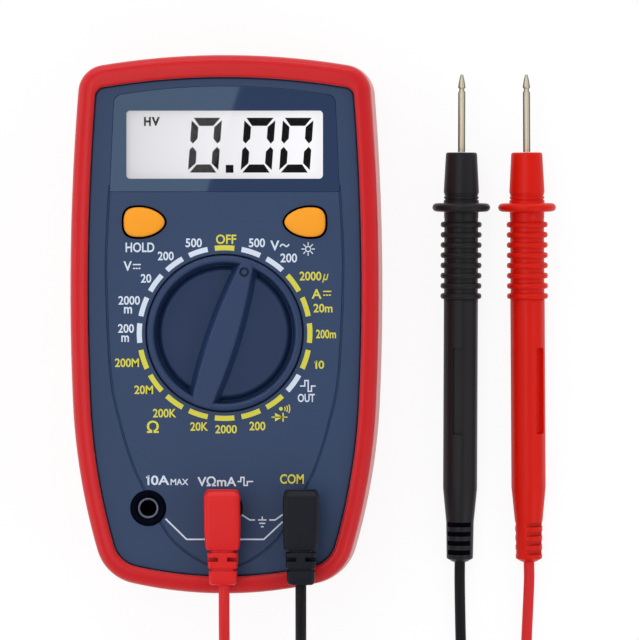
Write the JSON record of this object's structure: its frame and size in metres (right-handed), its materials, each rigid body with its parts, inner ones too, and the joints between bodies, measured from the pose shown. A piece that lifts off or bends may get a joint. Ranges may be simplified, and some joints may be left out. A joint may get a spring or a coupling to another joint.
{
  "type": "digital multimeter",
  "caption": "Hand-held digital multimeter in a rubber holster, with a display, a turning range selector, push buttons, input jacks and plugged-in test leads with needle probes.",
  "frame": {"origin": "centre of the back, on the surface that the meter lies on", "axes": "+X to the right of the face, +Y towards the display end, +Z out of the face"},
  "size_m": [0.1174, 0.2408, 0.0416],
  "materials": {
    "red_rubber": "soft-touch moulded red",
    "blue_plastic": "fine spark-textured dark blue",
    "knob_plastic": "satin dark blue",
    "orange_rubber": "smooth orange",
    "lens": "glossy printed window panel",
    "lcd_glass": "reflective liquid crystal glass",
    "white_plastic": "plain white",
    "board": "green solder mask",
    "black_plastic": "satin black",
    "steel": "bright plated",
    "brass": "plain brass",
    "copper": "copper alloy strip and wire",
    "fuse_glass": "clear tube",
    "battery_jacket": "plain printed steel jacket",
    "red_plastic": "smooth moulded red",
    "black_handle": "smooth moulded black",
    "red_cord": "red flexible jacket",
    "black_cord": "black flexible jacket",
    "strap": "flat black strap"
  },
  "bodies": {
    "meter": {"backlight_panel": "white_plastic", "battery": "battery_jacket", "battery_snap": "black_plastic", "battery_wire_black": "black_cord", "battery_wire_red": "red_cord", "black_lead_coil": "black_cord", "black_lead_tie": "strap", "black_lead_to_coil": "black_cord", "black_lead_to_probe": "black_cord", "black_probe_handle": "black_handle", "black_probe_tip": "steel", "buzzer_disc": "brass", "case_screw_1": "steel", "case_screw_2": "steel", "case_screw_3": "steel", "case_screw_4": "steel", "circuit_board": "board", "current_shunt": "copper", "front_case": "blue_plastic", "fuse": "fuse_glass", "fuse_clip_1": "brass", "fuse_clip_2": "brass", "hold_dome": "steel", "holster": "red_rubber", "jack_collar_common": "black_plastic", "jack_collar_current": "black_plastic", "jack_collar_volt": "black_plastic", "jack_common": "steel", "jack_current": "steel", "jack_volt": "steel", "lcd_frame": "white_plastic", "lcd_glass": "lcd_glass", "lcd_lens": "lens", "light_dome": "steel", "main_chip": "black_plastic", "rear_case": "blue_plastic", "red_lead_coil": "red_cord", "red_lead_tie": "strap", "red_lead_to_coil": "red_cord", "red_lead_to_probe": "red_cord", "red_probe_handle": "red_plastic", "red_probe_tip": "steel", "zebra_strip": "black_plastic"},
    "selector": {"selector_knob": "knob_plastic", "contact_wiper_1": "copper", "contact_wiper_2": "copper", "contact_wiper_3": "copper", "detent_ball_1": "steel", "detent_ball_2": "steel", "detent_spring_1": "steel", "detent_spring_2": "steel"},
    "hold_button": {"hold_button": "orange_rubber"},
    "light_button": {"light_button": "orange_rubber"},
    "battery_door": {"battery_door": "blue_plastic", "battery_door_screw": "steel"},
    "red_plug": {"red_plug": "red_plastic", "red_plug_pin": "brass"},
    "black_plug": {"black_plug": "black_handle", "black_plug_pin": "brass"}
  },
  "joints": [
    {"name": "selector_turn", "type": "hinge", "parent": "meter", "child": "selector", "pos_m": [0, -0.0021, 0.0312], "axis": [0, 0, 1], "continuous": true},
    {"name": "hold_press", "type": "slide", "parent": "meter", "child": "hold_button", "axis": [0, 0, -1], "range_m": [0, 0.0008], "stiffness_N_per_m": 800, "deforming": ["hold_dome"]},
    {"name": "light_press", "type": "slide", "parent": "meter", "child": "light_button", "axis": [0, 0, -1], "range_m": [0, 0.0008], "stiffness_N_per_m": 800, "deforming": ["light_dome"]},
    {"name": "battery_door_lift", "type": "slide", "parent": "meter", "child": "battery_door", "axis": [0, 0, -1], "range_m": [0, 0.015]},
    {"name": "red_plug_pull", "type": "slide", "parent": "meter", "child": "red_plug", "axis": [0, 0, 1], "range_m": [0, 0.021]},
    {"name": "black_plug_pull", "type": "slide", "parent": "meter", "child": "black_plug", "axis": [0, 0, 1], "range_m": [0, 0.021]}
  ]
}
